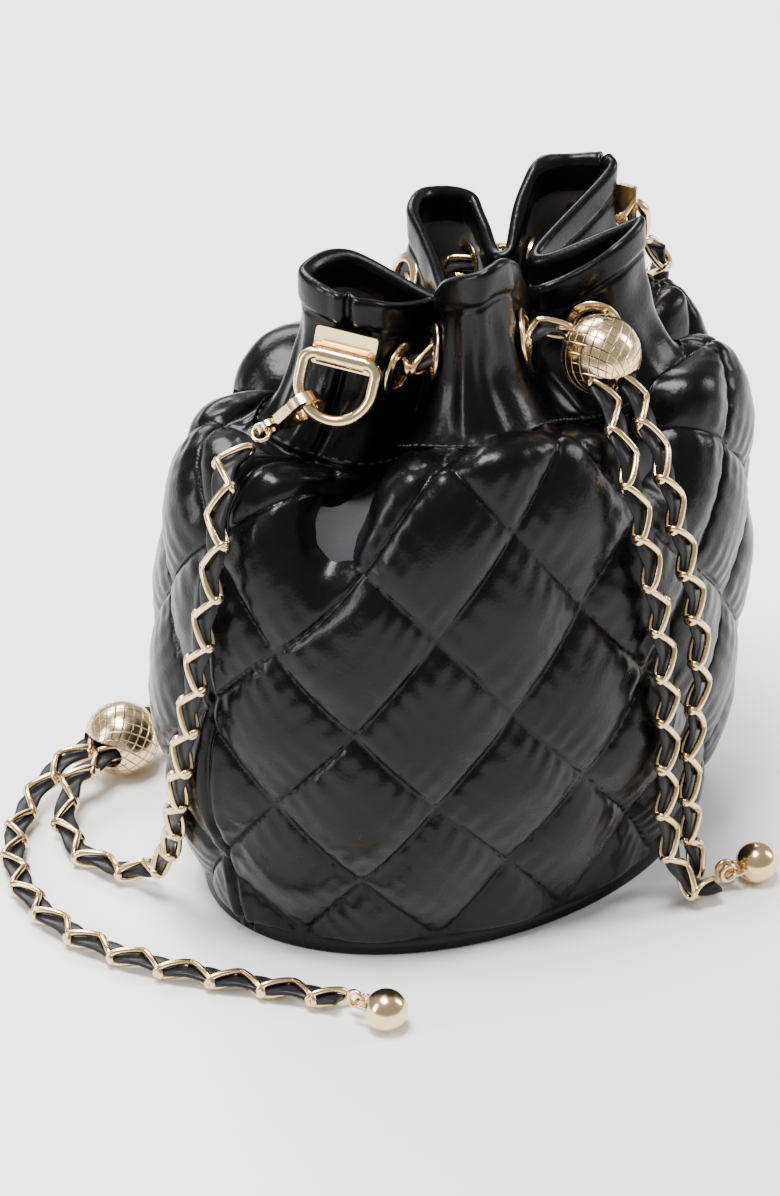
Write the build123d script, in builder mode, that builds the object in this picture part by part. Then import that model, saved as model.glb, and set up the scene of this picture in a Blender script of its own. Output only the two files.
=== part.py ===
from build123d import *
import math
import os

# Drawstring bucket bag in quilted leather, with a sliding-bead chain strap.
# Millimetres. +Z up, origin at the middle of the flat base, -Y is the front,
# -X the left D-ring. Angles about Z run anticlockwise from +X.

# ---------------------------------------------------------------- driving dimensions
base_rx = 78.0
base_ry = 56.0
belly_rx = 92.0
belly_ry = 66.0
belly_z = 72.0
base_thick = 2.6
board_thick = 1.6
panel_thick = 3.0
band_thick = 2.0
lining_gap = 0.3
lining_thick = 0.8
seat_gap = 1.0

eyelet_outer_r = 8.0
eyelet_bore_r = 4.9
eyelet_barrel_r = 5.4
eyelet_flange = 0.9
washer_depth = 3.9
washer_r = 6.6

bracket_size = (17.0, 11.0, 1.2)
barrel_r = 2.3
barrel_length = 13.0
ring_wire_r = 1.6
ring_half_width = 9.9
ring_depth = 17.0
hinge_clearance = 0.05

chain_r = 3.5
drawstring_r = 3.0
ball_r = 11.0
end_ball_r = 6.0

# The gathered rim: five folds standing out, five tucks between them.
# Each station is (angle of the same spot on the belly, x, y, z of the rim).
rim_stations = [
    (0, 60, 5, 191), (22, 54, 16, 192), (42, 41, 19, 190), (64, 25, 11, 173),
    (84, 31, 30, 181), (98, 19, 37, 184), (114, 7, 29, 184), (136, -5, 1, 174),
    (156, -28, 11, 190), (170, -46, 8, 192), (182, -48, -5, 191), (196, -36, -15, 187),
    (213, -12, -4, 176), (230, -22, -22, 192), (248, -20, -35, 199), (266, -7, -33, 198),
    (290, 15, -17, 176), (310, 33, -28, 187), (329, 47, -22, 190), (347, 26, -4, 178),
]
# How a meridian travels from belly to rim: (share of the way inwards, share of the rise).
rise_knots = [
    (0.0, 0.0), (0.02, 0.27), (0.10, 0.50), (0.30, 0.635), (0.72, 0.625), (0.97, 0.84), (1.0, 1.0),
]
belly_level = 1.0
seam_level = 5.0
eyelet_level = 6.0
rim_level = 7.0
lining_top_level = 6.6
layer_spans = 10

right_seam = 0.4
left_seam = 10.4
count = len(rim_stations)
# Eyelets sit on the walls between folds and tucks, in drawstring order from the front tuck.
eyelet_stations = [16.65, 18.7, 19.55, 2.3, 3.8, 6.15, 7.65, 11.3, 12.8, 15.3]


# ---------------------------------------------------------------- the gathered leather surface
def blend_four(a, b, c, d, t):
    return 0.5 * (2 * b + (c - a) * t + (2 * a - 5 * b + 4 * c - d) * t**2 + (3 * b - a - 3 * c + d) * t**3)


def rim_value(column, station):
    """One column of rim_stations, smoothly between stations, right round the rim."""
    whole = math.floor(station)
    values = []
    for step in (-1, 0, 1, 2):
        turns, index = divmod(whole + step, count)
        values.append(rim_stations[index][column] + (360 * turns if column == 0 else 0))
    return blend_four(*values, station - whole)


def rise(level):
    """Share inwards and share of the rise at a level from 1 (belly) to 7 (rim)."""
    place = level - belly_level
    whole = min(int(place), len(rise_knots) - 2)
    first = rise_knots[0]
    last = rise_knots[-1]
    before = [2 * a - b for a, b in zip(first, rise_knots[1])]
    after = [2 * a - b for a, b in zip(last, rise_knots[-2])]
    knots = [before] + rise_knots + [after]
    return [blend_four(*[knots[whole + i][n] for i in range(4)], place - whole) for n in (0, 1)]


def skin(station, level):
    """Outer leather surface: level 0 is the base edge, 1 the belly, 5 the band seam, 7 the rim."""
    angle = math.radians(rim_value(0, station))
    if level <= belly_level:
        swell = math.sin(math.pi / 2 * level)
        x = math.cos(angle) * (base_rx + (belly_rx - base_rx) * swell)
        y = math.sin(angle) * (base_ry + (belly_ry - base_ry) * swell)
        return Vector(x, y, base_thick + (belly_z - base_thick) * level)
    inward, up = rise(level)
    x = belly_rx * math.cos(angle) * (1 - inward) + rim_value(1, station) * inward
    y = belly_ry * math.sin(angle) * (1 - inward) + rim_value(2, station) * inward
    return Vector(x, y, belly_z + (rim_value(3, station) - belly_z) * up)


def skin_normal(station, level):
    low = max(level - 0.05, 0)
    high = min(level + 0.05, rim_level)
    along = skin(station + 0.05, level) - skin(station - 0.05, level)
    up = skin(station, high) - skin(station, low)
    return along.cross(up).normalized()


def skin_plane(station, level, height):
    """Plane standing off the leather by height, x along the rim, z outwards."""
    normal = skin_normal(station, level)
    along = skin(station + 0.05, level) - skin(station - 0.05, level)
    return Plane(skin(station, level) + normal * height, x_dir=along, z_dir=normal)


def leather_layer(first, last, levels, depth, thick):
    """Closed layer of leather between two stations, depth below the outer surface."""
    span = (last - first) / layer_spans
    steps = round(span * 4)
    faces = []
    for n in range(layer_spans):
        stations = [first + span * (n + i / steps) for i in range(steps + 1)]

        def row(level, below):
            below -= panel_thick - band_thick if level > seam_level and depth else 0
            return Spline(*[skin(s, level) - skin_normal(s, level) * below for s in stations])

        outer = [row(level, depth) for level in levels]
        inner = [row(level, depth + thick) for level in levels]
        faces.append(Face.make_surface_from_curves(outer[0], inner[0]))
        faces.append(Face.make_surface_from_curves(outer[-1], inner[-1]))
        open_ends = [end for end, place in ((0, 0), (1, layer_spans - 1)) if n == place]
        for low in range(len(levels) - 1):
            faces.append(Face.make_surface_from_curves(outer[low], outer[low + 1]))
            faces.append(Face.make_surface_from_curves(inner[low], inner[low + 1]))
            for end in open_ends:
                outer_side = Line(outer[low] @ end, outer[low + 1] @ end)
                inner_side = Line(inner[low] @ end, inner[low + 1] @ end)
                faces.append(Face.make_surface_from_curves(outer_side, inner_side))
    return Solid(Shell(faces))


def whole_piece(builder):
    """The piece itself, without any crumb that a hole left behind."""
    return builder.part.solids().sort_by(SortBy.VOLUME)[-1]


def finish(name, builder):
    builder.part.label = name
    export_step(builder.part, f"parts/{name}.step")


os.makedirs("parts", exist_ok=True)

panel_levels = [0, 0.35, 0.7, 1, 1.5, 2, 2.5, 3, 3.5, 4, 4.5, seam_level]
band_levels = [seam_level, 5.33, 5.66, eyelet_level, 6.33, 6.66, rim_level]
lining_levels = [0.05] + panel_levels[1:-1] + band_levels[:-2] + [lining_top_level]
halves = {"back": (right_seam, left_seam), "front": (left_seam, right_seam + count)}

eyelet_planes = [skin_plane(s, eyelet_level, 0) for s in eyelet_stations]
bracket_level = 6.25
bracket_height = 1.6
bracket_planes = {
    "left": skin_plane(left_seam, bracket_level, bracket_height),
    "right": skin_plane(right_seam, bracket_level, bracket_height),
}
rivet_spacing = 14.4
rivet_r = 0.9
rivet_head_r = 1.7
rivet_length = 8.0


def subtract_fittings(side):
    """Holes and flat seats for the eyelets, brackets and rivets on one half."""
    for plane, station in zip(eyelet_planes, eyelet_stations):
        if (right_seam < station < left_seam) != (side == "back"):
            continue
        with Locations(plane):
            Cylinder(eyelet_barrel_r + 0.1, 30, mode=Mode.SUBTRACT)
        with Locations(plane.offset(seat_gap + 5 - 0.05)):
            Cylinder(eyelet_outer_r + 0.2, 10, mode=Mode.SUBTRACT)
        with Locations(plane.offset(-washer_depth - 3 + 0.05)):
            Cylinder(eyelet_outer_r + 0.2, 6, mode=Mode.SUBTRACT)
    for plane in bracket_planes.values():
        with Locations(plane.offset(4.95)):
            Box(bracket_size[0] + 0.6, bracket_size[1] + 0.6, 10, mode=Mode.SUBTRACT)
        with Locations(plane):
            with GridLocations(rivet_spacing, 0, 2, 1):
                Cylinder(rivet_r + 0.1, 24, mode=Mode.SUBTRACT)
        with Locations(plane.offset(-rivet_length - 3)):
            with GridLocations(rivet_spacing, 0, 2, 1):
                Cylinder(rivet_head_r + 0.3, 6.1, mode=Mode.SUBTRACT)


def subtract_lining_holes(side):
    """Round holes in the lining, in which the washers and rivet heads sit."""
    for plane, station in zip(eyelet_planes, eyelet_stations):
        if (right_seam < station < left_seam) != (side == "back"):
            continue
        with Locations(plane):
            Cylinder(washer_r + 0.3, 14, mode=Mode.SUBTRACT)
    for plane in bracket_planes.values():
        with Locations(plane):
            with GridLocations(rivet_spacing, 0, 2, 1):
                Cylinder(rivet_head_r + 0.3, 24, mode=Mode.SUBTRACT)


# ---------------------------------------------------------------- base
with BuildPart() as base_panel:
    with BuildSketch():
        Ellipse(base_rx, base_ry)
    extrude(amount=base_thick)
    fillet(base_panel.edges().group_by(Axis.Z)[0], 1.0)
finish("base_panel", base_panel)

with BuildPart() as base_board:
    with BuildSketch(Plane.XY.offset(base_thick)):
        Ellipse(base_rx - panel_thick - 1.5, base_ry - panel_thick - 1.5)
    extrude(amount=board_thick)
finish("base_board", base_board)

with BuildPart() as base_lining:
    with BuildSketch(Plane.XY.offset(base_thick + board_thick + 0.2)):
        Ellipse(base_rx - panel_thick - 2.5, base_ry - panel_thick - 2.5)
    extrude(amount=lining_thick)
finish("base_lining", base_lining)

# ---------------------------------------------------------------- quilted body, band and lining
for side, (first, last) in halves.items():
    body_half = leather_layer(first, last, panel_levels, 0, panel_thick)
    with BuildPart() as body_panel:
        add(body_half)
    finish(f"{side}_panel", body_panel)

    band_half = leather_layer(first, last, band_levels, 0, band_thick)
    with BuildPart() as pierced_band:
        add(band_half)
        subtract_fittings(side)
    with BuildPart() as band:
        add(whole_piece(pierced_band))
    finish(f"{side}_band", band)

    lining_half = leather_layer(first, last, lining_levels, panel_thick + lining_gap, lining_thick)
    with BuildPart() as pierced_lining:
        add(lining_half)
        subtract_lining_holes(side)
    with BuildPart() as lining:
        add(whole_piece(pierced_lining))
    finish(f"{side}_lining", lining)

# ---------------------------------------------------------------- eyelets and their back washers
with BuildPart() as eyelets:
    for plane in eyelet_planes:
        with Locations(plane.offset(seat_gap)):
            Cylinder(eyelet_outer_r, eyelet_flange, align=(Align.CENTER, Align.CENTER, Align.MIN))
        with Locations(plane.offset(-washer_depth - 1.0)):
            height = washer_depth + 1.0 + seat_gap
            Cylinder(eyelet_barrel_r, height, align=(Align.CENTER, Align.CENTER, Align.MIN))
        with Locations(plane):
            Cylinder(eyelet_bore_r, 30, mode=Mode.SUBTRACT)
finish("eyelets", eyelets)

with BuildPart() as eyelet_washers:
    for plane in eyelet_planes:
        with Locations(plane.offset(-washer_depth)):
            top_down = (Align.CENTER, Align.CENTER, Align.MAX)
            Cylinder(washer_r, 0.8, align=top_down)
            Cylinder(eyelet_barrel_r + 0.02, 0.8, align=top_down, mode=Mode.SUBTRACT)
finish("eyelet_washers", eyelet_washers)

# ---------------------------------------------------------------- D-ring brackets and D-rings
barrel_out = bracket_size[2] + barrel_r - 0.2
barrel_drop = 1.5
ring_swing_out = -14.0
ring_corner_r = 3.0
ring_arc_drop = ring_depth - ring_half_width
ring_straight = ring_half_width - ring_corner_r

hook_r = 3.5
hook_outer_r = 5.4
hook_thick = 3.0
eye_r = 1.5
eye_outer_r = 3.2
eye_thick = 1.8
lever_thick = 1.2
clasp_pin_r = 0.5
jump_ring_r = 2.4
jump_wire_r = 0.6
hook_angle = {"left": 230.0, "right": 262.0}
clasp_eye = {"left": (-68.0, -6.0, 157.5), "right": (83.0, 20.0, 155.5)}
clasp_turn = {"left": 0.6, "right": 0.25}
hook_slack = 1.0
lever_pivot = (3.9, -1.9)

for side, plane in bracket_planes.items():
    axis_origin = plane.origin + plane.z_dir * barrel_out - plane.y_dir * barrel_drop
    barrel_plane = Plane(axis_origin, x_dir=plane.y_dir, z_dir=plane.x_dir)
    with BuildPart() as bracket:
        with BuildSketch(plane):
            RectangleRounded(bracket_size[0], bracket_size[1], 1.0)
        extrude(amount=bracket_size[2])
        with BuildSketch(barrel_plane):
            Circle(barrel_r)
        extrude(amount=barrel_length / 2, both=True)
        with BuildSketch(barrel_plane):
            Circle(ring_wire_r + hinge_clearance)
        extrude(amount=barrel_length, both=True, mode=Mode.SUBTRACT)
        with Locations(plane):
            with GridLocations(rivet_spacing, 0, 2, 1):
                Cylinder(rivet_r + 0.02, 6, mode=Mode.SUBTRACT)
    finish(f"bracket_{side}", bracket)

    with BuildPart() as rivets:
        with Locations(plane.offset(bracket_size[2])):
            with GridLocations(rivet_spacing, 0, 2, 1):
                length = rivet_length + bracket_size[2] + 0.5
                Cylinder(rivet_r, length, align=(Align.CENTER, Align.CENTER, Align.MAX))
        with Locations(plane.offset(-rivet_length)):
            with GridLocations(rivet_spacing, 0, 2, 1):
                Cylinder(rivet_head_r, 0.8, align=(Align.CENTER, Align.CENTER, Align.MAX))
    finish(f"bracket_rivets_{side}", rivets)

    # D-ring plane: x along the barrel, y up the ring, hanging slightly off the leather.
    hang = plane.y_dir.rotate(Axis((0, 0, 0), plane.x_dir), ring_swing_out)
    ring_plane = Plane(axis_origin, x_dir=plane.x_dir, z_dir=plane.x_dir.cross(hang))
    with BuildPart() as d_ring:
        with BuildLine(ring_plane) as ring_path:
            Line((-ring_straight, 0), (ring_straight, 0))
            CenterArc((ring_straight, -ring_corner_r), ring_corner_r, 90, -90)
            Line((ring_half_width, -ring_corner_r), (ring_half_width, -ring_arc_drop))
            CenterArc((0, -ring_arc_drop), ring_half_width, 0, -180)
            Line((-ring_half_width, -ring_arc_drop), (-ring_half_width, -ring_corner_r))
            CenterArc((-ring_straight, -ring_corner_r), ring_corner_r, 180, -90)
        with BuildSketch(Plane(ring_path.line @ 0, z_dir=ring_path.line % 0)):
            Circle(ring_wire_r)
        sweep(path=ring_path.line)
    finish(f"d_ring_{side}", d_ring)

    # Clasp plane: y from the eye to the hook, hooked round the lower side of the D-ring.
    at = math.radians(hook_angle[side])
    on_ring = Vector(ring_half_width * math.cos(at), ring_half_width * math.sin(at) - ring_arc_drop)
    ring_point = ring_plane.from_local_coords(on_ring)
    wire_way = ring_plane.x_dir * -math.sin(at) + ring_plane.y_dir * math.cos(at)
    eye_point = Vector(*clasp_eye[side])
    hook_way = (ring_point - eye_point).normalized()
    face_way = wire_way + ring_plane.z_dir * clasp_turn[side]
    face_way = (face_way - hook_way * face_way.dot(hook_way)).normalized()
    hook_plane = Plane(ring_point - hook_way * hook_slack, x_dir=hook_way.cross(face_way), z_dir=face_way)
    eye_drop = (hook_plane.origin - eye_point).length
    with BuildPart() as clasp:
        with BuildSketch(hook_plane):
            Circle(hook_outer_r)
            with BuildLine():
                Polyline((-5.2, -1), (5.2, -1), (2.2, 2.5 - eye_drop), (-2.2, 2.5 - eye_drop), close=True)
            make_face()
            Circle(hook_r, mode=Mode.SUBTRACT)
        extrude(amount=hook_thick / 2, both=True)
        with BuildSketch(hook_plane):
            with Locations((0, -eye_drop)):
                Circle(eye_outer_r)
        extrude(amount=eye_thick / 2, both=True)
        with BuildSketch(hook_plane):
            with Locations((0, -eye_drop)):
                Circle(eye_r)
        extrude(amount=hook_thick, both=True, mode=Mode.SUBTRACT)
        with BuildSketch(hook_plane):
            with Locations((5.0, 0.0)):
                Rectangle(5.6, 9.0)
        extrude(amount=lever_thick / 2 + 0.15, both=True, mode=Mode.SUBTRACT)
        with BuildSketch(hook_plane):
            with Locations((5.0, 2.0)):
                Rectangle(5.6, 4.8)
        extrude(amount=hook_thick, both=True, mode=Mode.SUBTRACT)
        with BuildSketch(hook_plane):
            with Locations(lever_pivot):
                Circle(clasp_pin_r + 0.02)
        extrude(amount=hook_thick, both=True, mode=Mode.SUBTRACT)
    finish(f"clasp_{side}", clasp)

    with BuildPart() as lever:
        with BuildSketch(hook_plane):
            Circle(hook_outer_r - 0.1)
            Circle(hook_r + 0.1, mode=Mode.SUBTRACT)
            with Locations((5.0, -0.1)):
                Rectangle(4.8, 5.8, mode=Mode.INTERSECT)
            with Locations((hook_outer_r + 0.6, -2.4)):
                Rectangle(2.6, 1.2)
            with Locations(lever_pivot):
                Circle(clasp_pin_r + hinge_clearance, mode=Mode.SUBTRACT)
        extrude(amount=lever_thick / 2, both=True)
    finish(f"clasp_lever_{side}", lever)

    with BuildPart() as clasp_pin:
        with BuildSketch(hook_plane.offset(-hook_thick / 2)):
            with Locations(lever_pivot):
                Circle(clasp_pin_r)
        extrude(amount=hook_thick)
    finish(f"clasp_pin_{side}", clasp_pin)

    jump_centre = eye_point - hook_way * jump_ring_r
    with BuildPart() as jump_ring:
        with Locations(Plane(jump_centre, x_dir=hook_way, z_dir=hook_plane.x_dir)):
            Torus(jump_ring_r, jump_wire_r)
    finish(f"jump_ring_{side}", jump_ring)
    pivot = hook_plane.from_local_coords(Vector(*lever_pivot))
    strap_start = jump_centre - hook_way * (jump_ring_r + 1.4)
    print("strap start", side, [round(v, 1) for v in strap_start])
    print("D-ring hinge", side, [round(v, 2) for v in axis_origin], [round(v, 3) for v in plane.x_dir])
    print("lever hinge", side, [round(v, 2) for v in pivot], [round(v, 3) for v in face_way])


# ---------------------------------------------------------------- chains, as plain tubes
def cord_tube(name, points, radius):
    """Tube along straight runs joined by tangent arcs as large as the runs allow."""
    corners = [Vector(*p) for p in points]
    radii = []
    for before, corner, after in zip(corners, corners[1:], corners[2:]):
        run_in = corner - before
        run_out = after - corner
        half_turn = math.radians(run_in.get_angle(run_out)) / 2
        radii.append(0.45 * min(run_in.length, run_out.length) / math.tan(half_turn))
    with BuildPart() as tube:
        with BuildLine() as route:
            FilletPolyline(*points, radius=radii)
        path = route.wires()[0]
        with BuildSketch(Plane(path @ 0, z_dir=path % 0)):
            Circle(radius)
        sweep(path=path)
    finish(name, tube)
    length = path.length
    fill = tube.part.volume / (math.pi * radius**2 * length)
    print(name, "length", round(length), "volume ratio", round(fill, 3), "radii", [round(r) for r in radii])


# The drawstring threads the eyelets in order; its ends meet the tails at the cinch ball.
drawstring_points = [
    (24.3, -37.2, 165.0), (26.4, -28.4, 170.1), (28.3, -24.6, 165.0), (31.3, -10.5, 163), (46.6, 0.6, 167), (37, 18, 167),
    (31.0, 28.6, 162), (4, 27.2, 165), (-22.5, 8.4, 166), (-31.2, -13.2, 166), (-21.8, -19.8, 170),
    (-1, -29.8, 173), (18.4, -27.2, 169.9), (16.5, -35.4, 165.0),
]
# Both tails leave the cinch ball, cross the shoulder, hang down the front and end at one ball.
tail_right_points = [
    (24.3, -37.2, 165.0), (19.5, -57.7, 152.7), (20, -66.5, 139), (22, -69.5, 124), (25.5, -71, 108),
    (28.5, -71.5, 91), (30, -71.5, 74), (28.5, -71, 57), (28, -70.5, 41), (30, -69, 26),
    (33.2, -66.6, 12.5), (37.0, -67.2, 5.2),
]
tail_left_points = [
    (16.5, -35.4, 165.0), (11.3, -56.1, 153.1), (8.5, -65.5, 140), (10.5, -69, 125), (13, -71, 108),
    (16, -71.5, 91), (18, -71.5, 74), (18.8, -71.5, 57), (18.6, -71.5, 41), (20, -71, 26),
    (23.5, -71.6, 13), (29.6, -73.8, 4.9), (36.8, -76, 4.4),
]
# Each strap chain leaves a clasp, runs through the slider ball and ends at a small ball.
chain_left_points = [
    (-73.3, -3.9, 154.6), (-77.0, -2.8, 151.5), (-84.5, -8.0, 150.4), (-90.6, -13.5, 141), (-94.2, -16, 128), (-96.6, -15.5, 114),
    (-97.8, -13, 99), (-98.6, -10, 84), (-98.6, -6.5, 69), (-97.8, -2.5, 54), (-95.4, 3, 40),
    (-91, 10.5, 27), (-87.5, 19, 15), (-88, 28, 6), (-92, 37.5, 3.8), (-95, 48, 3.6),
    (-93.5, 58.5, 4), (-88.5, 67.5, 6.5), (-81.5, 73.8, 9.8), (-74, 76.2, 11), (-38.9, 81.8, 11),
    (-27, 87, 14.5), (-17.5, 94.5, 15), (-8, 103, 8), (3, 113, 3.8), (17, 122, 3.6),
    (35, 127, 3.6), (54, 124, 3.6), (71, 115, 3.6), (86, 102, 3.6), (98, 87, 3.6),
    (107, 71, 3.6), (113, 54, 4.0),
]
chain_right_points = [
    (88.9, 20.1, 152.8), (94.2, 23, 144), (96, 28, 127), (97, 29.5, 112), (97.5, 30.5, 96),
    (97.5, 31.5, 80), (96.5, 33.5, 64), (94.5, 37, 49), (91, 42, 35), (86, 48, 22),
    (79.5, 55.5, 11), (71, 63.5, 4.6), (60.5, 71.5, 3.6), (48, 79, 3.6), (34, 85, 3.6),
    (19, 89.5, 3.6), (3, 92.5, 3.6), (-13, 94, 4), (-27, 93.5, 7.5), (-39.5, 90, 11),
    (-75.4, 84.3, 11), (-86, 82, 7.5), (-96.5, 76.5, 4), (-106.5, 67.5, 3.6), (-114.5, 55, 3.6),
    (-119.5, 41, 3.6), (-121, 26, 3.6), (-118.5, 10, 3.6), (-112.5, -5, 3.6), (-104.5, -18.5, 3.6),
    (-96, -30.5, 3.6), (-87.5, -42.5, 3.7), (-80.5, -54.6, 4.3),
]
cord_tube("drawstring", drawstring_points, drawstring_r)
cord_tube("tail_right", tail_right_points, chain_r)
cord_tube("tail_left", tail_left_points, chain_r)
cord_tube("strap_chain_left", chain_left_points, chain_r)
cord_tube("strap_chain_right", chain_right_points, chain_r)

# ---------------------------------------------------------------- sliding balls
ball_slot = (8.0, 7.7)
sliding_balls = {
    "cinch_ball": (Vector(20, -38, 164), Vector(-0.2, -0.85, -0.5).normalized(), Vector(0.97, -0.228, 0)),
    "strap_slider_ball": (Vector(-57, 83, 11), Vector(-0.987, -0.157, 0).normalized(), Vector(0.157, -0.987, 0)),
}
for name, (centre, through, across) in sliding_balls.items():
    with BuildPart() as ball:
        with Locations(Plane(centre, x_dir=across, z_dir=through)):
            Sphere(ball_r)
        with BuildSketch(Plane(centre, x_dir=across, z_dir=through)):
            SlotCenterToCenter(ball_slot[0], ball_slot[1])
        extrude(amount=ball_r + 1, both=True, mode=Mode.SUBTRACT)
    finish(name, ball)

# ---------------------------------------------------------------- end balls on stirrups
stirrup_wire_r = 0.55
stirrup_reach = 9.0
stirrup_half = 3.2
link_r = 2.3
link_wire_r = 0.8
end_balls = {
    "tail_end": (Vector(51, -74.6, end_ball_r), [tail_right_points[-1], tail_left_points[-1]]),
    "strap_end_left": (Vector(117, 41.6, end_ball_r), [chain_left_points[-1]]),
    "strap_end_right": (Vector(-76, -66.8, end_ball_r), [chain_right_points[-1]]),
}
for name, (centre, chain_ends) in end_balls.items():
    ends = [Vector(*end) for end in chain_ends]
    middle = sum(ends, Vector()) * (1 / len(ends))
    reach_way = Vector(middle.X - centre.X, middle.Y - centre.Y, 0).normalized()
    bar_way = Vector(-reach_way.Y, reach_way.X, 0)
    with BuildPart() as end_ball:
        with Locations(Plane(centre)):
            Sphere(end_ball_r)
        with BuildLine(Plane(centre, x_dir=reach_way, z_dir=(0, 0, 1))) as stirrup_path:
            FilletPolyline(
                (end_ball_r - 2, 2.7), (stirrup_reach, stirrup_half),
                (stirrup_reach, -stirrup_half), (end_ball_r - 2, -2.7), radius=1.0,
            )
        with BuildSketch(Plane(stirrup_path.line @ 0, z_dir=stirrup_path.line % 0)):
            Circle(stirrup_wire_r)
        sweep(path=stirrup_path.line)
    finish(f"{name}_ball", end_ball)
    bar = centre + reach_way * stirrup_reach
    print(name, "bar", [round(v, 2) for v in bar], [round(v, 3) for v in bar_way])
    with BuildPart() as links:
        for end in ends:
            offset = (end - bar).dot(bar_way)
            link_centre = bar + reach_way * (link_r - 1.5) + bar_way * max(min(offset, 1.3), -1.3)
            with Locations(Plane(link_centre, x_dir=reach_way, z_dir=bar_way)):
                Torus(link_r, link_wire_r)
    finish(f"{name}_links", links)
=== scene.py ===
import bpy
import math
import numpy as np
from mathutils import Matrix, Vector


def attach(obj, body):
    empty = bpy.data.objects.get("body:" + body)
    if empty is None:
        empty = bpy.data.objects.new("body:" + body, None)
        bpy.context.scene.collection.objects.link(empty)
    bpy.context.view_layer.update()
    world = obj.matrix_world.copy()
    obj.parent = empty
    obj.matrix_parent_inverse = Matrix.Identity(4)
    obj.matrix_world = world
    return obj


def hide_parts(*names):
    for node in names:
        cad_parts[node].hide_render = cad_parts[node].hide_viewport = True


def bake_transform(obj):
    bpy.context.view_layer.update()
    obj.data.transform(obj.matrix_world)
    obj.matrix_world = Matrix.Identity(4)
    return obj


# Black quilted bucket bag with a bead drawstring and a leather-laced chain strap.
# Metres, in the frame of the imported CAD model.

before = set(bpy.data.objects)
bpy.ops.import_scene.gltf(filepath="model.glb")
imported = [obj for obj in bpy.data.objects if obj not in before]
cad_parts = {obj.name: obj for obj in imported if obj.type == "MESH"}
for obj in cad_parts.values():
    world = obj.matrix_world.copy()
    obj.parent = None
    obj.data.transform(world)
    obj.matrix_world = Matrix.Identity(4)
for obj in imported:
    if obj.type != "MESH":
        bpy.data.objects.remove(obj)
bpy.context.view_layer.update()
MM = 0.001
scene = bpy.context.scene


# ---------------------------------------------------------------- camera
right = Vector((0.788, -0.6157, 0.0))
up = Vector((0.3171, 0.4058, 0.8573))
back = right.cross(up).normalized()
camera_data = bpy.data.cameras.new("camera")
camera_data.lens = 161.25
camera_data.sensor_width = 36
camera = bpy.data.objects.new("camera", camera_data)
scene.collection.objects.link(camera)
axes = Matrix((right, up, back)).transposed().to_4x4()
camera.matrix_world = Matrix.Translation((-0.8079, -1.0052, 0.8515)) @ axes
scene.camera = camera


# ---------------------------------------------------------------- materials
class Look:
    """A node material on one Principled shader, with helpers for procedural detail."""

    def __init__(self, name, color, roughness, metallic=0.0):
        self.material = bpy.data.materials.new(name)
        self.material.use_nodes = True
        self.nodes = self.material.node_tree.nodes
        self.links = self.material.node_tree.links
        self.shader = self.nodes["Principled BSDF"]
        self.shader.inputs["Base Color"].default_value = (*color, 1)
        self.shader.inputs["Roughness"].default_value = roughness
        self.shader.inputs["Metallic"].default_value = metallic
        self.place = self.nodes.new("ShaderNodeTexCoord").outputs["Object"]
        self.normal = None

    def node(self, kind, inputs=None, **values):
        made = self.nodes.new(kind)
        for key, value in values.items():
            setattr(made, key, value)
        for key, value in (inputs or {}).items():
            if isinstance(value, bpy.types.NodeSocket):
                self.links.new(value, made.inputs[key])
            else:
                made.inputs[key].default_value = value
        return made

    def noise(self, scale, detail=3.0, rough=0.55, place=None):
        inputs = {"Vector": place or self.place, "Scale": scale, "Detail": detail, "Roughness": rough}
        return self.node("ShaderNodeTexNoise", inputs).outputs["Fac"]

    def pebbles(self, scale):
        inputs = {"Vector": self.place, "Scale": scale}
        return self.node("ShaderNodeTexVoronoi", inputs, feature="SMOOTH_F1").outputs["Distance"]

    def math(self, operation, first, second=0.0):
        made = self.node("ShaderNodeMath", {0: first, 1: second}, operation=operation)
        return made.outputs[0]

    def ramp(self, value, low, high):
        inputs = {"Value": value, "To Min": low, "To Max": high}
        return self.node("ShaderNodeMapRange", inputs).outputs["Result"]

    def bump(self, height, distance, strength=1.0):
        made = self.node("ShaderNodeBump", {"Height": height, "Distance": distance, "Strength": strength})
        if self.normal is not None:
            self.links.new(self.normal, made.inputs["Normal"])
        self.normal = made.outputs["Normal"]
        self.links.new(self.normal, self.shader.inputs["Normal"])

    def vary_roughness(self, value, low, high):
        self.links.new(self.ramp(value, low, high), self.shader.inputs["Roughness"])

    def vary_color(self, value, first, second):
        made = self.nodes.new("ShaderNodeMix")
        made.data_type = "RGBA"
        factor, color_a, color_b, mixed = made.inputs[0], made.inputs[6], made.inputs[7], made.outputs[2]
        self.links.new(value, factor)
        color_a.default_value = (*first, 1)
        color_b.default_value = (*second, 1)
        self.links.new(mixed, self.shader.inputs["Base Color"])


def make_leather(name, color, roughness):
    look = Look(name, color, roughness)
    look.shader.inputs["Specular IOR Level"].default_value = 0.13
    look.shader.inputs["Coat Weight"].default_value = 0.06
    look.shader.inputs["Coat Roughness"].default_value = 0.18
    look.vary_color(look.noise(60, 4), color, [c * 1.8 for c in color])
    look.vary_roughness(look.noise(170, 3), roughness - 0.07, roughness + 0.09)
    look.bump(look.noise(240, 4, 0.55), 0.0004, 0.35)
    look.bump(look.pebbles(1100), 0.00012, 0.4)
    look.bump(look.noise(2600, 2), 0.00004, 0.4)
    return look.material


def make_metal(name, color, roughness, scratches=0.35):
    look = Look(name, color, roughness, 1.0)
    look.vary_color(look.noise(90, 2), color, [c * 0.93 for c in color])
    look.vary_roughness(look.noise(420, 4), roughness - 0.04, roughness + 0.06)
    look.bump(look.noise(700, 3), 0.00005, scratches)
    return look


engraved_ball_r = 11.2 * MM


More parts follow.
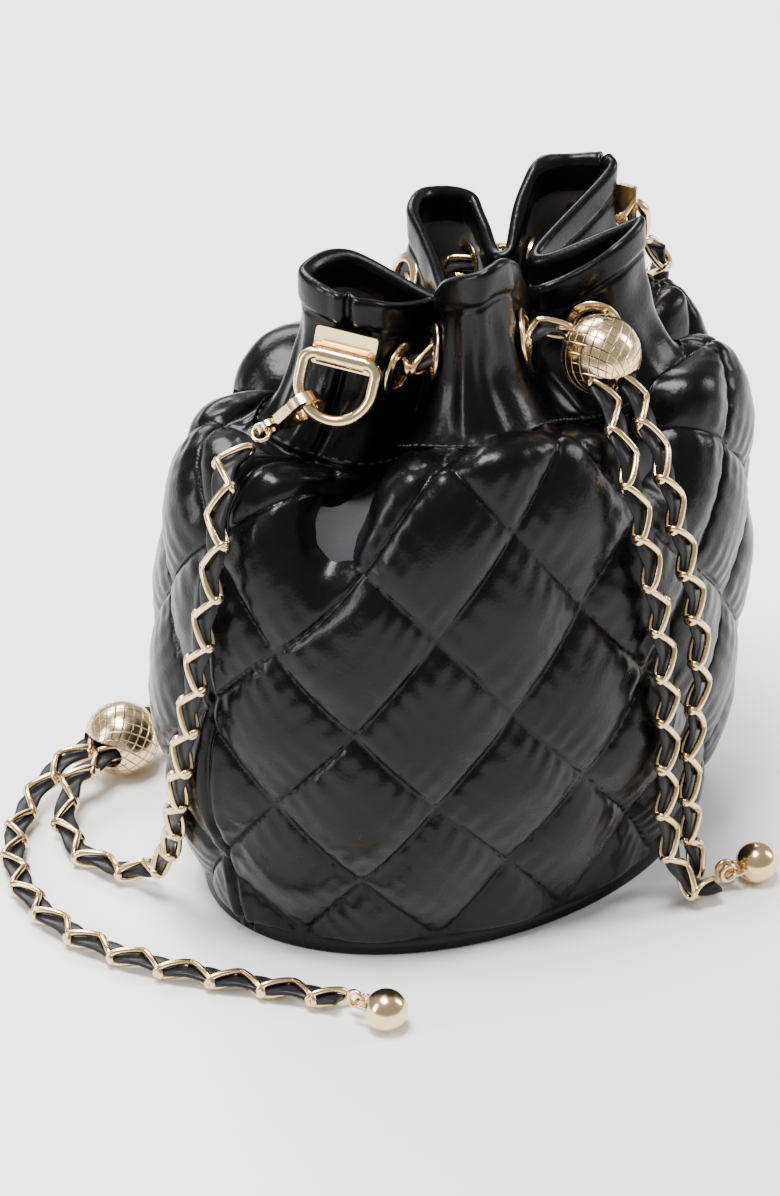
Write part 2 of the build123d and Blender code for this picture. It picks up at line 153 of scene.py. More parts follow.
def make_engraved(name, color, centre, through, turns=18.0):
    """Polished metal with a lattice cut along two families of lines round the through axis."""
    look = make_metal(name, color, 0.2)
    level = Vector(through).normalized().rotation_difference(Vector((0, 0, 1)))
    local = look.node("ShaderNodeVectorMath", {0: look.place, 1: centre}, operation="SUBTRACT").outputs[0]
    turn_level = {"Vector": local, "Rotation": level.to_euler()}
    turned = look.node("ShaderNodeVectorRotate", turn_level, rotation_type="EULER_XYZ")
    split = look.node("ShaderNodeSeparateXYZ", {0: turned.outputs[0]}).outputs
    around = look.math("MULTIPLY", look.math("ARCTAN2", split[1], split[0]), turns / 2)
    rise = look.math("DIVIDE", split[2], engraved_ball_r)
    along = look.math("MULTIPLY", look.math("ARCSINE", rise), turns / 2)
    lines = []
    for sign in ("ADD", "SUBTRACT"):
        lines.append(look.math("ABSOLUTE", look.math("SINE", look.math(sign, around, along))))
    nearest = look.math("MINIMUM", lines[0], lines[1])
    edge = {"Value": nearest, "From Max": 0.28}
    cut = look.node("ShaderNodeMapRange", edge, interpolation_type="SMOOTHSTEP")
    look.bump(cut.outputs["Result"], 0.0005, 0.9)
    # The cut lines are also painted darker, at 0.45 of the gold: painted shade in the grooves.
    look.vary_color(cut.outputs["Result"], [c * 0.45 for c in color], color)
    return look.material


def make_fabric(name, color):
    look = Look(name, color, 0.85)
    look.shader.inputs["Sheen Weight"].default_value = 0.15
    wave = look.node("ShaderNodeTexWave", {"Vector": look.place, "Scale": 900.0, "Distortion": 1.5})
    look.bump(wave.outputs["Fac"], 0.0001, 0.5)
    look.bump(look.noise(1500, 2), 0.0001, 0.5)
    look.vary_color(look.noise(80, 3), color, [c * 1.8 for c in color])
    return look.material


gold = (0.83, 0.62, 0.34)
leather_look = make_leather("black_leather", (0.0012, 0.0012, 0.0015), 0.28)
lace_look = make_leather("black_lace_leather", (0.008, 0.008, 0.009), 0.42)
thread_look = make_fabric("black_thread", (0.012, 0.012, 0.013))
lining_look = make_fabric("black_lining", (0.012, 0.012, 0.014))
board_look = make_fabric("grey_board", (0.06, 0.06, 0.06))
metal_look = make_metal("polished_gold", gold, 0.19).material
link_look = make_metal("chain_gold", (0.80, 0.59, 0.31), 0.22, 0.6).material


def paint(obj, *looks):
    obj.data.materials.clear()
    for look in looks:
        obj.data.materials.append(look)


def make_piece(name, verts, faces, looks, face_looks=None, smooth=True):
    mesh = bpy.data.meshes.new(name)
    mesh.from_pydata([tuple(v) for v in verts], [], faces)
    mesh.update()
    obj = bpy.data.objects.new(name, mesh)
    scene.collection.objects.link(obj)
    paint(obj, *looks)
    if face_looks is not None:
        mesh.polygons.foreach_set("material_index", face_looks)
    if smooth:
        mesh.polygons.foreach_set("use_smooth", [True] * len(mesh.polygons))
    return obj


# ---------------------------------------------------------------- chain routes (metres, as in the CAD)
def route(*points):
    return [Vector(p) * MM for p in points]


routes = {
    "drawstring": route(
        (24.3, -37.2, 165.0), (26.4, -28.4, 170.1), (28.3, -24.6, 165.0), (31.3, -10.5, 163),
        (46.6, 0.6, 167), (37, 18, 167), (31.0, 28.6, 162), (4, 27.2, 165), (-22.5, 8.4, 166),
        (-31.2, -13.2, 166), (-21.8, -19.8, 170), (-1, -29.8, 173), (18.4, -27.2, 169.9),
        (16.5, -35.4, 165.0),
    ),
    "tail_right": route(
        (24.3, -37.2, 165.0), (19.5, -57.7, 152.7), (20, -66.5, 139), (22, -69.5, 124), (25.5, -71, 108),
        (28.5, -71.5, 91), (30, -71.5, 74), (28.5, -71, 57), (28, -70.5, 41), (30, -69, 26),
        (33.2, -66.6, 12.5), (37.0, -67.2, 5.2),
    ),
    "tail_left": route(
        (16.5, -35.4, 165.0), (11.3, -56.1, 153.1), (8.5, -65.5, 140), (10.5, -69, 125), (13, -71, 108),
        (16, -71.5, 91), (18, -71.5, 74), (18.8, -71.5, 57), (18.6, -71.5, 41), (20, -71, 26),
        (23.5, -71.6, 13), (29.6, -73.8, 4.9), (36.8, -76, 4.4),
    ),
    "strap_chain_left": route(
        (-73.3, -3.9, 154.6), (-77.0, -2.8, 151.5), (-84.5, -8.0, 150.4), (-90.6, -13.5, 141),
        (-94.2, -16, 128), (-96.6, -15.5, 114), (-97.8, -13, 99), (-98.6, -10, 84), (-98.6, -6.5, 69),
        (-97.8, -2.5, 54), (-95.4, 3, 40), (-91, 10.5, 27), (-87.5, 19, 15), (-88, 28, 6),
        (-92, 37.5, 3.8), (-95, 48, 3.6), (-93.5, 58.5, 4), (-88.5, 67.5, 6.5), (-81.5, 73.8, 9.8),
        (-74, 76.2, 11), (-38.9, 81.8, 11), (-27, 87, 14.5), (-17.5, 94.5, 15), (-8, 103, 8),
        (3, 113, 3.8), (17, 122, 3.6), (35, 127, 3.6), (54, 124, 3.6), (71, 115, 3.6), (86, 102, 3.6),
        (98, 87, 3.6), (107, 71, 3.6), (113, 54, 4.0),
    ),
    "strap_chain_right": route(
        (88.9, 20.1, 152.8), (94.2, 23, 144), (96, 28, 127), (97, 29.5, 112), (97.5, 30.5, 96),
        (97.5, 31.5, 80), (96.5, 33.5, 64), (94.5, 37, 49), (91, 42, 35), (86, 48, 22),
        (79.5, 55.5, 11), (71, 63.5, 4.6), (60.5, 71.5, 3.6), (48, 79, 3.6), (34, 85, 3.6),
        (19, 89.5, 3.6), (3, 92.5, 3.6), (-13, 94, 4), (-27, 93.5, 7.5), (-39.5, 90, 11),
        (-75.4, 84.3, 11), (-86, 82, 7.5), (-96.5, 76.5, 4), (-106.5, 67.5, 3.6), (-114.5, 55, 3.6),
        (-119.5, 41, 3.6), (-121, 26, 3.6), (-118.5, 10, 3.6), (-112.5, -5, 3.6), (-104.5, -18.5, 3.6),
        (-96, -30.5, 3.6), (-87.5, -42.5, 3.7), (-80.5, -54.6, 4.3),
    ),
}


route_step = 0.6 * MM
steady_reach = 7


def follow(name, points):
    """Evenly spaced points on the smooth curve that has these control points."""
    data = bpy.data.curves.new(name + "_route", "CURVE")
    data.dimensions = "3D"
    data.resolution_u = 16
    spline = data.splines.new("NURBS")
    spline.points.add(len(points) - 1)
    for control, point in zip(spline.points, points):
        control.co = (*point, 1)
    spline.order_u = 3
    spline.use_endpoint_u = True
    line = bpy.data.objects.new(name + "_route", data)
    mesh = bpy.data.meshes.new_from_object(line)
    path = np.array([v.co[:] for v in mesh.vertices])
    bpy.data.meshes.remove(mesh)
    bpy.data.objects.remove(line)
    along = np.concatenate([[0], np.cumsum(np.linalg.norm(np.diff(path, axis=0), axis=1))])
    count = int(round(along[-1] / route_step))
    even = np.linspace(0, along[-1], count + 1)
    return np.stack([np.interp(even, along, path[:, k]) for k in range(3)], 1), even


def unit(vectors):
    return vectors / np.maximum(np.linalg.norm(vectors, axis=-1, keepdims=True), 1e-12)


def lying_frames(path):
    """Tangent, side and face directions. A lying chain faces up, and a hanging one faces out."""
    tangent = unit(np.gradient(path, axis=0))
    steep = np.abs(tangent[:, 2:3]) ** 2
    outwards = unit(path * [1, 1, 0])
    reference = unit(outwards * steep + np.array([0, 0, 1.0]) * (1 - steep))
    side = unit(np.cross(reference, tangent))
    kernel = np.ones(2 * steady_reach + 1) / (2 * steady_reach + 1)
    padded = np.pad(side, ((steady_reach, steady_reach), (0, 0)), mode="edge")
    side = np.stack([np.convolve(padded[:, k], kernel, "valid") for k in range(3)], 1)
    side = unit(side - tangent * np.sum(side * tangent, 1, keepdims=True))
    return tangent, side, np.cross(tangent, side)


link_pitch = 7.4 * MM
link_half_length = 5.55 * MM
link_half_height = 2.15 * MM
link_slant = math.radians(36)
link_wire = 0.92 * MM
lace_half_width = 2.95 * MM
lace_half_thick = 0.8 * MM


def link_ring(slant, sections=24, sides=9):
    """One oval link standing across the lace, its wires crossing it at a slant."""
    turn = np.linspace(0, 2 * np.pi, sections, endpoint=False)
    long = link_half_length * np.sign(np.cos(turn)) * np.abs(np.cos(turn)) ** 0.8
    high = link_half_height * np.sign(np.sin(turn)) * np.abs(np.sin(turn)) ** 0.9
    centre = np.stack([long * math.cos(slant), long * math.sin(slant), high], 1)
    tangent = unit(np.roll(centre, -1, 0) - np.roll(centre, 1, 0))
    out = np.tile([-math.sin(slant), math.cos(slant), 0.0], (sections, 1))
    top = np.cross(out, tangent)
    around = np.linspace(0, 2 * np.pi, sides, endpoint=False)
    ring = centre[:, None] + link_wire * (
        out[:, None] * np.cos(around)[None, :, None] + top[:, None] * np.sin(around)[None, :, None]
    )
    faces = []
    for i in range(sections):
        for j in range(sides):
            k, m = (i + 1) % sections, (j + 1) % sides
            faces.append((i * sides + j, k * sides + j, k * sides + m, i * sides + m))
    return ring.reshape(-1, 3), faces


def laced_chain(name, points, seed):
    """Interlocked slanting links along a route with a flat leather lace running through them."""
    path, even = follow(name, points)
    tangent, side, face = lying_frames(path)
    jitter = np.random.default_rng(seed)
    reach = link_half_length * math.cos(link_slant) + link_wire
    count = int((even[-1] - 2 * reach) / link_pitch) + 1
    pitch = (even[-1] - 2 * reach) / (count - 1)
    verts, faces, looks = [], [], []
    for n in range(count):
        template, template_faces = link_ring(link_slant if n % 2 else -link_slant)
        i = int(np.searchsorted(even, reach + n * pitch).clip(0, len(path) - 1))
        roll = math.radians(jitter.uniform(-9, 9))
        across = side[i] * math.cos(roll) + face[i] * math.sin(roll)
        basis = np.stack([tangent[i], across, np.cross(tangent[i], across)])
        base = n * len(template)
        verts.append(template @ basis + path[i])
        faces += [tuple(base + k for k in quad) for quad in template_faces]
        looks += [0] * len(template_faces)
    section = np.array([
        (1.0, 0.35), (0.86, 0.85), (0.3, 1.0), (-0.3, 1.0), (-0.86, 0.85), (-1.0, 0.35),
        (-1.0, -0.35), (-0.86, -0.85), (-0.3, -1.0), (0.3, -1.0), (0.86, -0.85), (1.0, -0.35),
    ])
    chosen = np.arange(2, len(path) - 2, 2)
    phase = np.pi * (even[chosen] - reach) / pitch
    roll = 0.22 * np.sin(phase)
    across = side[chosen] * np.cos(roll)[:, None] + face[chosen] * np.sin(roll)[:, None]
    lifted = np.cross(tangent[chosen], across)
    centre = path[chosen] + side[chosen] * (0.45 * MM * np.cos(phase))[:, None]
    rings = centre[:, None] + across[:, None] * (section[None, :, 0, None] * lace_half_width)
    rings = rings + lifted[:, None] * (section[None, :, 1, None] * lace_half_thick)
    base = sum(len(v) for v in verts)
    size = len(section)
    for i in range(len(chosen) - 1):
        for j in range(size):
            a = base + i * size
            k = (j + 1) % size
            faces.append((a + j, a + k, a + size + k, a + size + j))
            looks.append(1)
    last = base + (len(chosen) - 1) * size
    faces.append(tuple(base + j for j in reversed(range(size))))
    faces.append(tuple(last + j for j in range(size)))
    looks += [1, 1]
    verts.append(rings.reshape(-1, 3))
    piece = make_piece(name + "_laced", np.concatenate(verts), faces, (link_look, lace_look), looks)
    return piece, path


chains = {}
paths = {}
for seed, (name, points) in enumerate(routes.items()):
    chains[name], paths[name] = laced_chain(name, points, seed + 3)
    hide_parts(name)

for name in ("drawstring", "tail_right", "tail_left"):
    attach(chains[name], "bag")
for side in ("left", "right"):
    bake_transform(chains["strap_chain_" + side])

# ---------------------------------------------------------------- the leather surface, as in the CAD
base_r = (78.0, 56.0)
belly_r = (92.0, 66.0)
belly_z = 72.0
base_thick = 2.6
rim_stations = np.array([
    (0, 60, 5, 191), (22, 54, 16, 192), (42, 41, 19, 190), (64, 25, 11, 173),
    (84, 31, 30, 181), (98, 19, 37, 184), (114, 7, 29, 184), (136, -5, 1, 174),
    (156, -28, 11, 190), (170, -46, 8, 192), (182, -48, -5, 191), (196, -36, -15, 187),
    (213, -12, -4, 176), (230, -22, -22, 192), (248, -20, -35, 199), (266, -7, -33, 198),
    (290, 15, -17, 176), (310, 33, -28, 187), (329, 47, -22, 190), (347, 26, -4, 178),
], float)
rise_knots = np.array([
    (0.0, 0.0), (0.02, 0.27), (0.10, 0.50), (0.30, 0.635), (0.72, 0.625), (0.97, 0.84), (1.0, 1.0),
])
seam_level = 5.0
eyelet_level = 6.0
rim_level = 7.0
side_seams = (0.4, 10.4)
eyelet_stations = [16.65, 18.7, 19.55, 2.3, 3.8, 6.15, 7.65, 11.3, 12.8, 15.3]
stations_round = len(rim_stations)


def blend_four(a, b, c, d, t):
    """Catmull-Rom curve between b and c, with a before and d after them."""
    square = (2 * a - 5 * b + 4 * c - d) * t**2
    cube = (3 * b - a - 3 * c + d) * t**3
    return 0.5 * (2 * b + (c - a) * t + square + cube)


def rim_at(station):
    """Angle and x, y, z of the rim at any station, smoothly between the stations."""
    whole = np.floor(station).astype(int)
    part = (station - whole)[..., None]
    rows = []
    for step in (-1, 0, 1, 2):
        turns, index = np.divmod(whole + step, stations_round)
        row = rim_stations[index].copy()
        row[..., 0] += 360 * turns
        rows.append(row)
    return blend_four(*rows, part)


def rise_at(level):
    """Share inwards and share of the rise at a level from 1, the belly, to 7, the rim."""
    knots = np.concatenate([
        [2 * rise_knots[0] - rise_knots[1]], rise_knots, [2 * rise_knots[-1] - rise_knots[-2]],
    ])
    place = np.clip(level - 1, 0, len(rise_knots) - 1)
    whole = np.minimum(place.astype(int), len(rise_knots) - 2)
    return blend_four(*[knots[whole + i] for i in range(4)], (place - whole)[..., None])


def skin(station, level):
    """Smooth surface of the leather: rounded foot to belly, then in and up to the gathered rim."""
    station, level = np.broadcast_arrays(np.asarray(station, float), np.asarray(level, float))
    rim = rim_at(station)
    angle = np.radians(rim[..., 0])
    swell = np.sin(np.pi / 2 * np.clip(level, 0, 1))
    low = np.stack([
        np.cos(angle) * (base_r[0] + (belly_r[0] - base_r[0]) * swell),
        np.sin(angle) * (base_r[1] + (belly_r[1] - base_r[1]) * swell),
        base_thick + (belly_z - base_thick) * level,
    ], -1)
    share = rise_at(level)
    inward, lift = share[..., 0], share[..., 1]
    high = np.stack([
        belly_r[0] * np.cos(angle) * (1 - inward) + rim[..., 1] * inward,
        belly_r[1] * np.sin(angle) * (1 - inward) + rim[..., 2] * inward,
        belly_z + (rim[..., 3] - belly_z) * lift,
    ], -1)
    return np.where((level <= 1)[..., None], low, high)


probe = 0.04


def skin_normal(station, level):
    along = skin(station + probe, level) - skin(station - probe, level)
    above = np.minimum(level + probe, rim_level)
    below = np.maximum(level - probe, 0)
    return unit(np.cross(along, skin(station, above) - skin(station, below)))


# Distance round the belly and height up the leather stand for the flat cloth's two directions.
turn = np.linspace(0, 2 * np.pi, 4001)
ellipse = np.stack([belly_r[0] * np.cos(turn), belly_r[1] * np.sin(turn)], 1)
ellipse_run = np.concatenate([[0], np.cumsum(np.linalg.norm(np.diff(ellipse, axis=0), axis=1))])
girth = ellipse_run[-1]
station_line = np.linspace(0, stations_round, 2001)
girth_line = np.interp(np.radians(rim_at(station_line)[:, 0]), turn, ellipse_run)
level_line = np.linspace(0, rim_level, 281)
meridians = skin(np.linspace(0, stations_round, 80, endpoint=False)[:, None], level_line[None, :])
height_line = np.concatenate([
    [0], np.cumsum(np.linalg.norm(np.diff(meridians, axis=1), axis=2).mean(0)),
])
height_line += base_thick


def round_of(station):
    return np.interp(np.mod(station, stations_round), station_line, girth_line)


def station_of(distance):
    return np.interp(np.mod(distance, girth), girth_line, station_line)


def height_of(level):
    return np.interp(level, level_line, height_line)


def level_of(height):
    return np.interp(height, height_line, level_line)


# The quilting: one crossing lies at diamond_at, given as way round and height.
diamonds_round = 11
diamond_wide = girth / diamonds_round
diamond_tall = 50.5
diamond_at = (301.0, 79.5)
puff_low = -2.2
puff_high = 2.4
pucker_pitch = 6.2
pucker_reach = 3.5
stitch_side = math.hypot(diamond_wide, diamond_tall) / 2
stitch_gap = 1 / math.hypot(1 / diamond_wide, 1 / diamond_tall)
base_seam_height = base_thick + 1.8
hem_deep = 8.0
band_seam_height = float(height_of(seam_level))
rim_height = float(height_of(rim_level))
hem_height = rim_height - hem_deep
# Where the drawstring tucks the leather in: station, and how strongly.
tucks = ((3.05, 1.0), (7.0, 1.0), (12.0, 1.2), (16.0, 1.2), (19.0, 0.9))
fold_deep = 5.4
fold_high = 1.9
neck_thick = 4.2


def lumps(distance, height, count, waves, size, seed):
    """Gentle unevenness: a sum of waves that closes on itself round the bag."""
    pick = np.random.default_rng(seed)
    total = np.zeros(np.broadcast(distance, height).shape)
    for _ in range(count):
        length = pick.uniform(*waves)
        way = pick.uniform(0, np.pi)
        turns = round(girth / length * math.cos(way))
        phase = pick.uniform(0, 2 * np.pi)
        total += np.sin(2 * np.pi * (turns * distance / girth + height * math.sin(way) / length) + phase)
    return total * size / math.sqrt(count)


def ramp(value, low, high):
    t = np.clip((value - low) / (high - low), 0, 1)
    return t * t * (3 - 2 * t)


def groove(distance, width):
    return np.exp(-(distance / width) ** 2)


def stations_from(station, spot):
    """Signed number of stations from a spot, the shorter way round."""
    return np.mod(station - spot + stations_round / 2, stations_round) - stations_round / 2


def draw_in(station, level):
    """Folds that run down from the tucks into the body, where the drawstring gathers it."""
    deep = np.zeros(np.broadcast(station, level).shape)
    for tuck, strength in tucks:
        off = stations_from(station, tuck)
        deep -= strength * (fold_deep * groove(off, 0.36) + 1.4 * groove(off, 1.0))
        deep += strength * fold_high * groove(np.abs(off) - 0.9, 0.42)
    return deep * ramp(level, 2.1, 4.2)


def neck_fill(station, level):
    """Softens the corner where the gathered neck meets the body, except behind the brackets."""
    fill = neck_thick * ramp(level, 3.5, 4.9) * (1 - ramp(level, 5.0, 5.75))
    for seam in side_seams:
        fill = fill * (1 - 0.7 * groove(stations_from(station, seam), 1.3))
    return fill


def quilt_relief(station, level):
    """Padded diamonds between stitched lines, puckered along the stitching."""
    around = round_of(station)
    height = height_of(level)
    first = (around - diamond_at[0]) / diamond_wide + (height - diamond_at[1]) / diamond_tall
    second = (around - diamond_at[0]) / diamond_wide - (height - diamond_at[1]) / diamond_tall
    puff = (np.abs(np.sin(np.pi * first)) * np.abs(np.sin(np.pi * second))) ** 0.38
    quilt = puff_low + (puff_high - puff_low) * puff
    for line, along in ((first, second), (second, first)):
        off = np.abs(line - np.round(line)) * stitch_gap
        wander = lumps(around, height, 5, (30, 60), 1.2, 5)
        pucker = np.sin(2 * np.pi * along * stitch_side / pucker_pitch + wander)
        quilt += 0.13 * pucker * off / pucker_reach * np.exp(1 - off / pucker_reach)
    quilt += lumps(around, height, 12, (14, 30), 0.2, 21) * puff
    quilt += lumps(around, height, 9, (45, 110), 1.0, 22)
    return quilt + draw_in(station, level)


def band_relief(station, level):
    """Upright gathers of the plain band, with small creases."""
    around = round_of(station)
    height = height_of(level)
    gathers = np.sin(2 * np.pi * station * 1.7 + lumps(around, height, 4, (40, 90), 1.6, 31))
    gathers = 0.45 * gathers * (1 - ramp(level, 6.1, 6.8)) * ramp(level, 5.0, 5.3)
    band = gathers + lumps(around, height, 12, (10, 26), 0.22, 32)
    return band + lumps(around, height, 6, (30, 70), 0.3, 33)


def relief(station, level):
    """How far the leather stands off the smooth surface, in millimetres."""
    around = round_of(station)
    height = height_of(level)
    in_quilt = ramp(height, base_seam_height, base_seam_height + 3)
    in_quilt = in_quilt * (1 - ramp(height, band_seam_height - 4, band_seam_height))
    in_band = ramp(height, band_seam_height, band_seam_height + 1.5)
    total = quilt_relief(station, level) * in_quilt + band_relief(station, level) * in_band
    total += 0.5 * in_band * (1 - ramp(height, band_seam_height + 2, band_seam_height + 6))
    total -= 1.1 * groove(height - band_seam_height, 1.1) + 0.9 * groove(height - base_seam_height, 1.0)
    total -= 0.75 * groove(height - hem_height, 0.7)
    hem_crown = ramp(height, hem_height, hem_height + 2.0)
    total += (0.6 + lumps(around, height, 7, (9, 24), 0.18, 41)) * hem_crown
    for seam in side_seams:
        off = np.mod(around - float(round_of(seam)) + girth / 2, girth) - girth / 2
        total -= 1.7 * groove(off, 1.0)
        total += 0.6 * groove(np.abs(off) - 2.6, 1.5)
    return total + neck_fill(station, level)


def leather(station, level, lift=0.0):
    """Points on the finished leather, in metres."""
    station, level = np.broadcast_arrays(np.asarray(station, float), np.asarray(level, float))
    off = relief(station, level) + lift
    return (skin(station, level) + skin_normal(station, level) * off[..., None]) * MM


# ---------------------------------------------------------------- quilted body, in one skin
# Rows of points run up the outside, over the folded hem and down the inside.
columns = 780
wall = 3.0
lining_depth = 2.4
outer_levels = level_of(np.linspace(height_line[0], height_line[-1], 260))
grid_stations = np.linspace(0, stations_round, columns, endpoint=False)
outer = leather(grid_stations[None, :], outer_levels[:, None])
top_normal = skin_normal(grid_stations, rim_level)
top_rise = unit(skin(grid_stations, rim_level) - skin(grid_stations, rim_level - 0.1))
top_edge = []
for bend in np.linspace(0, np.pi, 7)[1:-1]:
    over = top_rise * math.sin(bend) - top_normal * (1 - math.cos(bend))
    top_edge.append(outer[-1] + over * (0.5 * wall * MM))
inner_levels = level_of(np.linspace(height_line[-1], height_line[0] + 1, 120))
inner_points = skin(grid_stations[None, :], inner_levels[:, None])
inner_normals = skin_normal(grid_stations[None, :], inner_levels[:, None])
inner_heights = height_of(inner_levels)
inner_depth = lining_depth + (wall - lining_depth) * ramp(inner_heights, hem_height - 1, hem_height + 1)
inner_depth = inner_depth + 1.2 * (1 - ramp(inner_heights, band_seam_height - 8, band_seam_height + 6))
inner = (inner_points - inner_normals * inner_depth[:, None, None]) * MM
foot = []
for share, z in ((0.955, 0.25), (0.985, 0.45), (1.0, 1.3)):
    ring = outer[0].copy()
    ring[:, :2] *= share
    ring[:, 2] = z * MM
    foot.append(ring)
rows = np.concatenate([foot, outer, top_edge, inner])
edge_rows = len(foot) + len(outer) + len(top_edge)
lining_row = edge_rows + int(np.argmax(height_of(inner_levels) < hem_height))
faces, face_looks = [], []
for i in range(len(rows) - 1):
    for j in range(columns):
        k = (j + 1) % columns
        a, b = i * columns, (i + 1) * columns
        faces.append((a + j, a + k, b + k, b + j))
        face_looks.append(1 if i >= lining_row else 0)
body = make_piece("quilted_body", rows.reshape(-1, 3), faces, (leather_look, lining_look), face_looks)
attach(body, "bag")
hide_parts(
    "back_panel", "front_panel", "back_band", "front_band", "back_lining", "front_lining",
)


# ---------------------------------------------------------------- stitching
thread_sides = 6
# Along one stitch: place from 0 to 1, and share of the thread's full radius.
thread_shape = ((0, 0.5), (0.25, 1.0), (0.75, 1.0), (1.0, 0.5))
thread_flatness = 1.25


def stitch_mesh(lines, length=2.7, gap=1.1, radius=0.26):
    """Short raised threads along lines drawn in (round, height) on the leather."""
    spots = []
    for line in lines:
        line = np.array(line, float)
        run = np.concatenate([[0], np.cumsum(np.linalg.norm(np.diff(line, axis=0), axis=1))])
        for start in np.arange(0.6, run[-1] - length, length + gap):
            at = start + length * np.array([0, 0.5, 1])
            spots.append([np.interp(at, run, line[:, k]) for k in (0, 1)])
    spots = np.array(spots)
    stations, levels = station_of(spots[:, 0]), level_of(spots[:, 1])
    first, middle, last = [
        leather(stations[:, k], levels[:, k], lift) for k, lift in ((0, -0.25), (1, 0.12), (2, -0.25))
    ]
    tangent = unit(last - first)
    normal = skin_normal(stations[:, 1], levels[:, 1])
    across = unit(np.cross(tangent, normal))
    normal = np.cross(across, tangent)
    points = []
    for place, share in thread_shape:
        if place <= 0.5:
            centre = first + (middle - first) * (2 * place)
        else:
            centre = middle + (last - middle) * (2 * place - 1)
        for n in range(thread_sides):
            angle = 2 * np.pi * n / thread_sides
            out = across * (math.cos(angle) * thread_flatness) + normal * math.sin(angle)
            points.append(centre + out * (radius * share * MM))
    points = np.stack(points, 1)
    rings = len(thread_shape)
    faces = []
    for n in range(len(points)):
        base = n * rings * thread_sides
        for ring in range(rings - 1):
            for side in range(thread_sides):
                a = base + ring * thread_sides
                k = (side + 1) % thread_sides
                faces.append((a + side, a + k, a + thread_sides + k, a + thread_sides + side))
        end = base + (rings - 1) * thread_sides
        faces.append(tuple(base + k for k in reversed(range(thread_sides))))
        faces.append(tuple(end + k for k in range(thread_sides)))
    return points.reshape(-1, 3), faces


quilt_low = base_seam_height + 1.5
quilt_high = band_seam_height - 2.5
quilt_lines = []
for index in range(diamonds_round):
    for slope in (1, -1):
        heights = np.linspace(quilt_low, quilt_high, 90)
        starts = diamond_at[0] + index * diamond_wide
        around = starts + slope * (heights - diamond_at[1]) / diamond_tall * diamond_wide
        quilt_lines.append(np.stack([around, heights], 1))
ring_walk = np.linspace(0, girth, 400)


def level_row(height):
    return np.stack([ring_walk, np.full_like(ring_walk, height)], 1)


seam_rows = [level_row(band_seam_height + 2.2), level_row(hem_height)]


def walk_stitches(name, lines, **sizes):
    verts, stitch_faces = stitch_mesh(lines, **sizes)
    threads = make_piece(name, verts, stitch_faces, (thread_look,))
    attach(threads, "bag")


walk_stitches("quilt_stitches", quilt_lines)
walk_stitches("seam_stitches", seam_rows, length=2.3, gap=0.9, radius=0.22)

# ---------------------------------------------------------------- eyelets
# Section of one ring: radius, and height above the leather.
eyelet_profile = [
    (4.9, -4.6), (4.9, 0.7), (5.15, 1.35), (5.7, 1.62), (6.2, 1.42), (6.6, 1.3), (7.4, 1.2), (7.85, 0.95),
    (8.0, 0.6), (7.9, 0.2), (7.2, 0.1), (5.5, 0.0), (5.4, -3.6), (6.6, -3.8), (6.6, -4.5), (5.2, -4.8),
]
eyelet_lift = 0.25
eyelet_steps = 48


def eyelet_mesh():
    """Every eyelet, each turned round the leather's own direction at its station."""
    verts, faces = [], []
    size = len(eyelet_profile)
    for station in eyelet_stations:
        centre = skin(station, eyelet_level)
        normal = skin_normal(station, eyelet_level)
        along = unit(skin(station + 0.05, eyelet_level) - skin(station - 0.05, eyelet_level))
        along = unit(along - normal * along.dot(normal))
        across = np.cross(normal, along)
        base = len(verts)
        for n in range(eyelet_steps):
            angle = 2 * math.pi * n / eyelet_steps
            way = along * math.cos(angle) + across * math.sin(angle)
            a = base + n * size
            b = base + (n + 1) % eyelet_steps * size
            for p, (radius, height) in enumerate(eyelet_profile):
                q = (p + 1) % size
                verts.append((centre + way * radius + normal * (height + eyelet_lift)) * MM)
                faces.append((a + p, b + p, b + q, a + q))
    return verts, faces


eyelet_rings = make_piece("eyelet_rings", *eyelet_mesh(), (metal_look,))
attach(eyelet_rings, "bag")
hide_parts("eyelets")

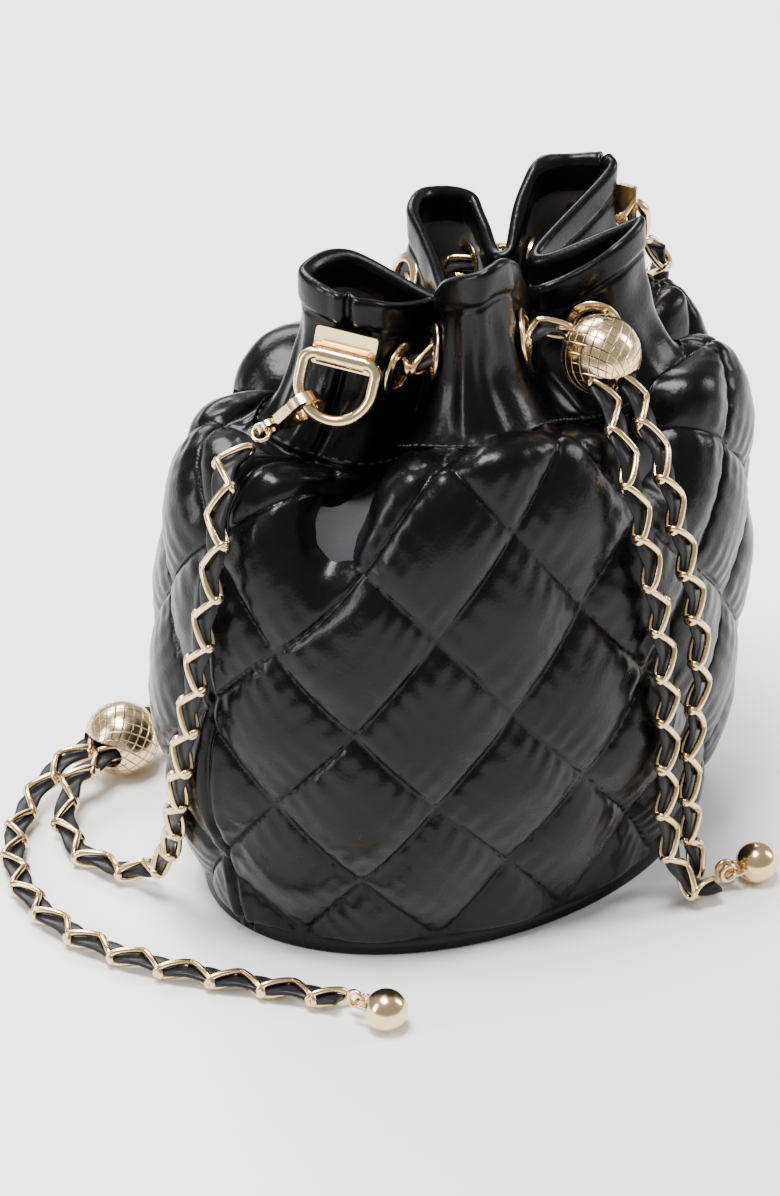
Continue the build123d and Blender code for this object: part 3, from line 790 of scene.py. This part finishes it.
# ---------------------------------------------------------------- carried-over CAD pieces
# Each engraved ball has its centre and the way its chain runs through it.
cinch_look = make_engraved("engraved_cinch", gold, (0.020, -0.038, 0.164), (-0.2, -0.85, -0.5))
slider_look = make_engraved("engraved_slider", gold, (-0.057, 0.083, 0.011), (-0.987, -0.157, 0))
node_looks = {
    "base_panel": leather_look,
    "base_lining": lining_look,
    "base_board": board_look,
    "cinch_ball": cinch_look,
    "strap_slider_ball": slider_look,
}
softened = ("bracket", "clasp", "cinch", "strap_slider")
for name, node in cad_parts.items():
    paint(node, node_looks.get(name, metal_look))
    if name.startswith(softened):
        bevel = node.modifiers.new("soft_edges", "BEVEL")
        bevel.width = 0.45 * MM if "clasp" in name else 0.3 * MM
        bevel.segments = 3
        bevel.limit_method = "ANGLE"
        bevel.angle_limit = math.radians(35)


# ---------------------------------------------------------------- studio
floor_reach = 6.0
floor_mesh = bpy.data.meshes.new("floor")
floor_corners = [(x * floor_reach, y * floor_reach, 0) for x, y in ((-1, -1), (1, -1), (1, 1), (-1, 1))]
floor_mesh.from_pydata(floor_corners, [], [(0, 1, 2, 3)])
floor = bpy.data.objects.new("floor", floor_mesh)
scene.collection.objects.link(floor)
floor_look = Look("pale_floor", (0.93, 0.93, 0.93), 0.8)
floor_look.vary_color(floor_look.noise(3, 2), (0.92, 0.92, 0.92), (0.94, 0.94, 0.94))
paint(floor, floor_look.material)

world = bpy.data.worlds.new("studio")
world.use_nodes = True
background = world.node_tree.nodes["Background"]
background.inputs["Color"].default_value = (1.0, 1.0, 1.0, 1)
background.inputs["Strength"].default_value = 0.46
scene.world = world


def soft_light(name, place, target, size, power):
    data = bpy.data.lights.new(name, "AREA")
    data.shape = "RECTANGLE"
    data.size, data.size_y = size
    data.energy = power
    light = bpy.data.objects.new(name, data)
    light.location = place
    light.rotation_euler = (Vector(target) - Vector(place)).to_track_quat("-Z", "Y").to_euler()
    scene.collection.objects.link(light)


soft_light("key", (-0.4, 0.0, 1.8), (0, 0, 0.1), (0.8, 0.6), 74)
soft_light("left", (-1.5, 0.4, 0.7), (0, 0, 0.12), (0.35, 1.0), 20)
soft_light("right", (1.3, -0.6, 0.8), (0, 0, 0.1), (0.35, 0.8), 16)
soft_light("backdrop", (0.5, 1.7, 1.6), (0.2, 0.4, 0), (1.6, 0.8), 75)
